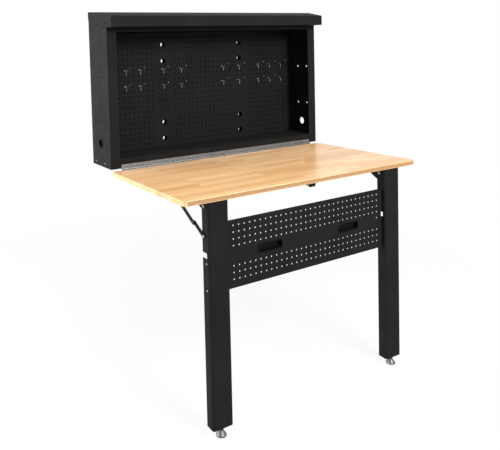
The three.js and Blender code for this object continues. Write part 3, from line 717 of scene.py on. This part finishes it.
class BENCH_OT_table_fittings(bpy.types.Operator):
    """Brackets, stay pins and latch under the top"""

    bl_idname = "bench.table_fittings"
    bl_label = "Table Fittings"

    PIN_X = 0.5035
    # Shank with a head at each end and a collar between bracket and link
    PIN = ((0, -0.0025), (0.005, -0.0025), (0.006, -0.0017), (0.006, -0.0003), (0.0035, -0.0003),
           (0.0035, 0.0033), (0.006, 0.0033), (0.006, 0.0057), (0.0035, 0.0057), (0.0035, 0.0093),
           (0.006, 0.0093), (0.0056, 0.0108), (0.0035, 0.0115), (0, 0.0116))

    def execute(self, context):
        fold = context.scene.bench_sizes.fold
        folded_copy("latch_guide", "black_paint", fold)
        folded_copy("latch_bolt", "black_paint", fold)
        for side, s in SIDES:
            folded_copy(f"pivot_bracket_{side}", "black_paint", fold)
            folded_copy(f"stay_bracket_{side}", "black_paint", fold)
            place = PIVOT_AXIS + Vector((s * self.PIN_X, STAY_REACH, 0))
            pin = turned(f"stay_pin_{side}", self.PIN, place, (s, 0, 0))
            fit(pin, "table", "zinc", FINISHES["blackened"], f"stay_pin_upper_{side}")
        return {"FINISHED"}


class BENCH_OT_legs(bpy.types.Operator):
    """Channel legs with their foot plates, pivot bolts and stay pins"""

    bl_idname = "bench.legs"
    bl_label = "Legs"

    # Nut, shank through the leg, and a domed head with a socket on the outer side
    BOLT = ((0, -0.0513), (0.0055, -0.0513), (0.007, -0.0503), (0.007, -0.0453), (0.004, -0.0453),
            (0.004, 0.0453), (0.008, 0.0453), (0.0078, 0.047), (0.0068, 0.0488), (0.005, 0.0499),
            (0.0026, 0.0503), (0.0024, 0.0485), (0, 0.0485))
    PIN_X = 0.503
    PIN = ((0, -0.0045), (0.005, -0.0045), (0.006, -0.0037), (0.006, -0.0023), (0.0035, -0.0023),
           (0.0035, 0.0038), (0.006, 0.0038), (0.0056, 0.0052), (0.003, 0.0059), (0, 0.006))

    def execute(self, context):
        fold = context.scene.bench_sizes.fold
        for side, s in SIDES:
            folded_copy(f"leg_{side}", "black_paint", fold)
            folded_copy(f"foot_plate_{side}", "black_paint", fold)
            pivot = PIVOT_AXIS + Vector((s * LEG_X, 0, 0))
            bolt = turned(f"pivot_bolt_head_{side}", self.BOLT, pivot, (s, 0, 0))
            fit(bolt, "legs", "zinc", FINISHES["zinc"], f"pivot_bolt_{side}")
            lower = PIVOT_AXIS + Vector((s * self.PIN_X, 0, -STAY_DROP))
            pin = turned(f"stay_pin_head_{side}", self.PIN, lower, (s, 0, 0))
            fit(pin, "legs", "zinc", FINISHES["zinc"], f"stay_pin_lower_{side}")
        return {"FINISHED"}


class BENCH_OT_leg_panel(bpy.types.Operator):
    """Perforated panel between the legs, with two recessed pulls"""

    bl_idname = "bench.leg_panel"
    bl_label = "Leg Panel"

    FIRST_ROW = 0.016  # below the panel's top edge
    # A block's first column and row, its columns and its rows
    BLOCKS = ((0, 0, 31, 4), (0, 6, 31, 3), (30, 4, 1, 1))
    MIDDLE_COLUMN = 15
    PULL_W, PULL_H, PULL_CORNER = 0.115, 0.033, 0.008
    PULL_EASE = 0.0005
    NOTCH_DROP = 0.18  # below the pivot
    NOTCH_H = 0.02
    NOTCH_DEPTH, NOTCH_OVERRUN = 0.005, 0.01

    def pull_tool(self, x, z, front):
        """A cutter with rounded corners for a pull's opening."""
        tool = block("pull_tool", (x - self.PULL_W / 2, front - CUT_AHEAD, z - self.PULL_H / 2),
                     (x + self.PULL_W / 2, front + CUT_BEHIND, z + self.PULL_H / 2))
        pick(tool, "edges", along(1))
        bpy.ops.mesh.bevel(offset=self.PULL_CORNER, segments=6, affect="EDGES")
        return done(tool)

    def notch_tool(self, s, end, front, rear):
        """A cutter for the notch in one end of the panel."""
        middle = PIVOT_AXIS.z - self.NOTCH_DROP
        x = sorted((s * (end - self.NOTCH_DEPTH), s * (end + self.NOTCH_OVERRUN)))
        return block("notch_tool", (x[0], front - CUT_AHEAD, middle - self.NOTCH_H / 2),
                     (x[1], rear + CUT_AHEAD, middle + self.NOTCH_H / 2))

    def execute(self, context):
        sizes = context.scene.bench_sizes
        pitch = sizes.pitch
        low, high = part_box("leg_panel")
        front = low[1]
        panel = open_pan("leg_panel_full", low, high, sizes.sheet)
        first = high[2] - self.FIRST_ROW
        tools = []
        for column, row, columns, rows in self.BLOCKS:
            place = ((column - self.MIDDLE_COLUMN) * pitch, first - row * pitch)
            tools.append(hole_block(sizes, sizes.panel_hole, *place, front, columns, rows))
        for side, s in SIDES:
            pull_low, pull_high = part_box(f"pull_{side}")
            x, z = ((pull_low[axis] + pull_high[axis]) / 2 for axis in (0, 2))
            tools += [self.pull_tool(x, z, front), self.notch_tool(s, high[0], front, high[1])]
        carve(panel, joined("panel_tools", tools))
        smooth(panel, 40)
        fit(panel, "legs", "black_paint", FINISHES["black_paint"], "leg_panel")
        for side, _ in SIDES:
            folded_copy(f"pull_{side}", "black_plastic", self.PULL_EASE)
        return {"FINISHED"}


class BENCH_OT_stays(bpy.types.Operator):
    """Jointed stays with round-headed middle rivets"""

    bl_idname = "bench.stays"
    bl_label = "Stays"

    RIVET_X = 0.5065
    RIVET = ((0, 0.0003), (0.006, 0.0003), (0.006, 0.0027), (0.0035, 0.0027), (0.0035, 0.0063),
             (0.006, 0.0063), (0.0056, 0.0076), (0.0035, 0.0084), (0, 0.0086))

    def execute(self, context):
        angle = math.atan2(STAY_DROP, STAY_REACH)
        span = math.hypot(STAY_DROP, STAY_REACH)
        upper = (span + STAY_REACH - STAY_DROP) / 2
        for side, s in SIDES:
            folded_copy(f"stay_link_upper_{side}", "black_paint", STAY_EASE)
            folded_copy(f"stay_link_lower_{side}", "black_paint", STAY_EASE)
            place = PIVOT_AXIS + Vector((
                s * self.RIVET_X, STAY_REACH - upper * math.cos(angle), -upper * math.sin(angle)))
            rivet = turned(f"stay_rivet_head_{side}", self.RIVET, place, (s, 0, 0))
            fit(rivet, f"stay_upper_{side}", "zinc", FINISHES["blackened"], f"stay_rivet_{side}")
        return {"FINISHED"}


class BENCH_OT_feet(bpy.types.Operator):
    """Levelling feet with threaded stems"""

    bl_idname = "bench.feet"
    bl_label = "Feet"

    # Sole, bell and collar
    BELL = ((0, 0), (0.0175, 0), (0.0195, 0.0008), (0.02, 0.002), (0.02, 0.005), (0.0194, 0.0062),
            (0.0172, 0.0094), (0.0146, 0.0128), (0.0118, 0.0162), (0.0098, 0.0184), (0.009, 0.0194),
            (0.009, 0.0234), (0.0084, 0.024))
    COLLAR = 0.024
    THREAD_PITCH = 0.0015
    THREAD_ROOT, THREAD_CREST = 0.0044, 0.005
    THREAD_END = 0.001  # plain length under the stem's tip
    TIP_RADIUS, TIP_CHAMFER = 0.0036, 0.0006
    SET_BACK = 0.018  # from the leg's front face

    def execute(self, context):
        pitch = self.THREAD_PITCH
        for side, s in SIDES:
            low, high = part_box(f"foot_{side}")
            height = high[2] - low[2]
            profile = list(self.BELL)
            for i in range(int((height - self.COLLAR - self.THREAD_END) / pitch)):
                z = self.COLLAR + (i + 0.5) * pitch
                profile += [(self.THREAD_ROOT, z - pitch / 4), (self.THREAD_CREST, z + pitch / 4)]
            profile += [(self.THREAD_ROOT, height - self.TIP_CHAMFER), (self.TIP_RADIUS, height), (0, height)]
            place = (s * LEG_X, LEG_FRONT + self.SET_BACK, low[2])
            foot = turned(f"foot_turned_{side}", profile, place, (0, 0, 1), 32)
            fit(foot, f"levelling_foot_{side}", "chrome", FINISHES["steel"], f"foot_{side}")
        return {"FINISHED"}


class BENCH_OT_screws(bpy.types.Operator):
    """Small fixing screws of the canopy, walls and leg panel"""

    bl_idname = "bench.screws"
    bl_label = "Screws"

    # Places as (y, z) pairs on faces at a distance from the middle
    CHEEK_X, CHEEK = 0.6019, ((-0.098, 0.328), (-0.194, 0.328))
    WALL_X, WALL = 0.6001, ((-0.039, -0.294), (-0.139, -0.294))
    TRAY_X, TRAY = 0.5984, ((-0.03, 0.302), (-0.151, 0.302))
    PANEL_X, PANEL = 0.4111, ((-0.79, -0.445), (-0.79, -0.567), (-0.79, -0.66))
    LARGE, SMALL = 0.0045, 0.0042
    HEIGHT = 0.002

    def heads(self, name, x, pairs, look, radius):
        """Heads on a face at x that looks outwards along x, or the other way."""
        return screw_heads(name, [(x, y, z) for y, z in pairs], (look, 0, 0), radius, self.HEIGHT)

    def execute(self, context):
        for side, s in SIDES:
            cheek = self.heads(f"canopy_screws_{side}", s * self.CHEEK_X, self.CHEEK, s, self.LARGE)
            fit(cheek, "cabinet", "black_paint", FINISHES["black_paint"])
            outer = self.heads("outer", s * self.WALL_X, self.WALL, s, self.SMALL)
            inner = self.heads("inner", s * self.TRAY_X, self.TRAY, -s, self.SMALL)
            fit(joined(f"wall_screws_{side}", [outer, inner]), "cabinet", "zinc", FINISHES["zinc"])
            panel = self.heads(f"panel_screws_{side}", s * self.PANEL_X, self.PANEL, -s, self.LARGE)
            fit(panel, "legs", "zinc", FINISHES["zinc"])
        return {"FINISHED"}


class BENCH_OT_grommets(bpy.types.Operator):
    """Plastic trims in the cable holes of the side walls"""

    bl_idname = "bench.grommets"
    bl_label = "Grommets"

    WALL_X, HOLE_Y, HOLE_Z = 0.6, -0.097, -0.208
    # Sleeve in the hole and a rounded rim on the wall's outer face
    TRIM = ((0.019, -0.006), (0.0246, -0.006), (0.0248, -0.0002), (0.0248, 0.0003), (0.028, 0.0003),
            (0.028, 0.0012), (0.0272, 0.0022), (0.0205, 0.0026), (0.0193, 0.002), (0.019, 0.0008),
            (0.019, -0.006))

    def execute(self, context):
        for side, s in SIDES:
            place = (s * self.WALL_X, self.HOLE_Y, self.HOLE_Z)
            trim = turned(f"grommet_{side}", self.TRIM, place, (s, 0, 0), 36)
            fit(trim, "cabinet", "black_plastic", FINISHES["black_plastic"])
        return {"FINISHED"}


class BENCH_OT_stage(bpy.types.Operator):
    """Pale floor, soft lights, white surroundings and the camera"""

    bl_idname = "bench.stage"
    bl_label = "Stage"

    FLOOR_SIZE = 24
    FLOOR_GAP = 0.0002  # below the feet
    # Share of white in the seen floor, near the bench and away from it
    GLOW = {"From Min": 1.0, "From Max": 2.6, "To Min": 0.85, "To Max": 1.0}
    MIDDLE = (0, -0.45, -0.3)  # of the bench
    # Place and size of each lamp
    LAMPS = {"side": ((-2.7, 0.9, 0.2), 1.8), "overhead": ((0.3, -1.3, 2.4), 2.4),
             "front": ((0.3, -3.8, 1.6), 1.6)}
    CAMERA = (-1.635545, -2.568028, 0.22215)
    RIGHT = (0.8646556695, -0.5015515474, -0.0285765384)
    DOWN = (-0.0514998067, -0.0319120863, -0.9981630071)
    SENSOR = 36
    FOCAL_PX = 593.225
    PRINCIPAL = (174.452, 77.61)  # the picture's point straight ahead of the camera

    def floor(self, stage):
        """A matte floor that is seen as white and keeps the shadow of the bench."""
        bpy.ops.object.select_all(action="DESELECT")
        bpy.ops.mesh.primitive_plane_add(
            size=self.FLOOR_SIZE, location=(0, 0, CAD_BOX[0][2] - self.FLOOR_GAP))
        floor = settle("floor")
        material = bpy.data.materials.new("pale_floor")
        material.use_nodes = True
        nodes, links = material.node_tree.nodes, material.node_tree.links
        nodes.clear()
        matte = nodes.new("ShaderNodeBsdfDiffuse")
        matte.inputs["Color"].default_value = (*stage.backdrop, 1)
        glow = nodes.new("ShaderNodeEmission")
        glow.inputs["Color"].default_value = (1, 1, 1, 1)
        glow.inputs["Strength"].default_value = 1.0
        place = nodes.new("ShaderNodeTexCoord")
        away = nodes.new("ShaderNodeVectorMath")
        away.operation = "LENGTH"
        links.new(place.outputs["Object"], away.inputs[0])
        reach = nodes.new("ShaderNodeMapRange")
        links.new(away.outputs["Value"], reach.inputs["Value"])
        for key, value in self.GLOW.items():
            reach.inputs[key].default_value = value
        share = nodes.new("ShaderNodeMath")
        share.operation = "MULTIPLY"
        links.new(self.seen(nodes, links), share.inputs[0])
        links.new(reach.outputs["Result"], share.inputs[1])
        mix = nodes.new("ShaderNodeMixShader")
        for socket, source in zip(mix.inputs, (share, matte, glow)):
            links.new(source.outputs[0], socket)
        out = nodes.new("ShaderNodeOutputMaterial")
        links.new(mix.outputs[0], out.inputs["Surface"])
        floor.data.materials.append(material)

    @staticmethod
    def seen(nodes, links):
        """1 for rays from the camera and for those that gloss or glass sends on."""
        path = nodes.new("ShaderNodeLightPath")
        total = path.outputs["Is Camera Ray"]
        for name in ("Is Glossy Ray", "Is Transmission Ray"):
            most = nodes.new("ShaderNodeMath")
            most.operation = "MAXIMUM"
            links.new(total, most.inputs[0])
            links.new(path.outputs[name], most.inputs[1])
            total = most.outputs[0]
        return total

    def surroundings(self, stage):
        """A world that is seen as white and lights the bench at the ambient strength."""
        world = bpy.data.worlds.new("surroundings")
        bpy.context.scene.world = world
        world.use_nodes = True
        nodes, links = world.node_tree.nodes, world.node_tree.links
        light = nodes["Background"]
        light.inputs["Color"].default_value = (1, 1, 1, 1)
        strength = nodes.new("ShaderNodeMapRange")
        strength.inputs["To Min"].default_value = stage.ambient
        strength.inputs["To Max"].default_value = 1.0
        links.new(self.seen(nodes, links), strength.inputs["Value"])
        links.new(strength.outputs["Result"], light.inputs["Strength"])

    def lamp(self, name, place, size, power):
        """A soft round lamp that looks at the middle of the bench."""
        data = bpy.data.lights.new(name, "AREA")
        data.shape = "DISK"
        data.size = size
        data.energy = power
        lamp = linked(name, data)
        lamp.location = place
        lamp.rotation_euler = (Vector(self.MIDDLE) - Vector(place)).to_track_quat("-Z", "Y").to_euler()

    def camera(self, scene):
        """A view camera: a carrier with unequal scale leans the line of sight against the film plane."""
        right, down = Vector(self.RIGHT), Vector(self.DOWN)
        rise = (IMAGE_WIDTH / 2 - self.PRINCIPAL[0], IMAGE_HEIGHT / 2 - self.PRINCIPAL[1])
        aside = (right * rise[0] + down * rise[1]) / self.FOCAL_PX
        sight = right.cross(down) + aside
        data = bpy.data.cameras.new("camera")
        data.sensor_width = self.SENSOR
        data.lens = self.FOCAL_PX * sight.length * self.SENSOR / IMAGE_WIDTH
        aside.normalize()
        back = -sight.normalized()
        lean = aside.dot(back)
        first, second = (aside + back).normalized(), (aside - back).normalized()
        axes = Matrix((first, second, first.cross(second))).transposed().to_4x4()
        carrier = linked("camera_carrier", None)
        carrier.location = self.CAMERA
        carrier.rotation_euler = axes.to_euler()
        carrier.scale = (math.sqrt(1 + lean), math.sqrt(1 - lean), 1)
        camera = linked("camera", data)
        camera.parent = carrier
        stretch = axes @ Matrix.Diagonal((*carrier.scale, 1))
        film = Matrix((right, -down, back)).transposed().to_4x4()
        camera.rotation_euler = (stretch.inverted() @ film).to_euler()
        scene.camera = camera

    def execute(self, context):
        stage = context.scene.bench_stage
        self.floor(stage)
        self.surroundings(stage)
        for name, (place, size) in self.LAMPS.items():
            self.lamp(f"{name}_light", place, size, getattr(stage, name))
        context.scene.view_settings.view_transform = "Standard"
        self.camera(context.scene)
        return {"FINISHED"}


OPERATORS = (
    BENCH_OT_stage, BENCH_OT_finishes, BENCH_OT_cabinet_sheets, BENCH_OT_pegboard, BENCH_OT_hooks,
    BENCH_OT_hinge, BENCH_OT_wooden_top, BENCH_OT_table_fittings, BENCH_OT_legs, BENCH_OT_leg_panel,
    BENCH_OT_stays, BENCH_OT_feet, BENCH_OT_screws, BENCH_OT_grommets)
GROUPS = {"bench_sizes": BenchSizes, "bench_colours": BenchColours, "bench_stage": BenchStage}


class BENCH_PT_panel(bpy.types.Panel):
    """Lists the settings and the pieces of the workbench"""

    bl_idname = "BENCH_PT_panel"
    bl_label = "Workbench"
    bl_space_type = "VIEW_3D"
    bl_region_type = "UI"
    bl_category = "Workbench"

    def draw(self, context):
        for group in GROUPS:
            settings = getattr(context.scene, group)
            for name in settings.__annotations__:
                self.layout.prop(settings, name)
        for operator in OPERATORS:
            self.layout.operator(operator.bl_idname)


def register():
    for group in GROUPS.values():
        bpy.utils.register_class(group)
    for name, group in GROUPS.items():
        setattr(bpy.types.Scene, name, bpy.props.PointerProperty(type=group))
    for item in (*OPERATORS, BENCH_PT_panel):
        bpy.utils.register_class(item)


def unregister():
    for item in reversed((*OPERATORS, BENCH_PT_panel)):
        bpy.utils.unregister_class(item)
    for name in GROUPS:
        delattr(bpy.types.Scene, name)
    for group in reversed(tuple(GROUPS.values())):
        bpy.utils.unregister_class(group)


def main():
    register()
    for operator in OPERATORS:
        family, name = operator.bl_idname.split(".")
        getattr(getattr(bpy.ops, family), name)()


if __name__ == "__main__":
    main()
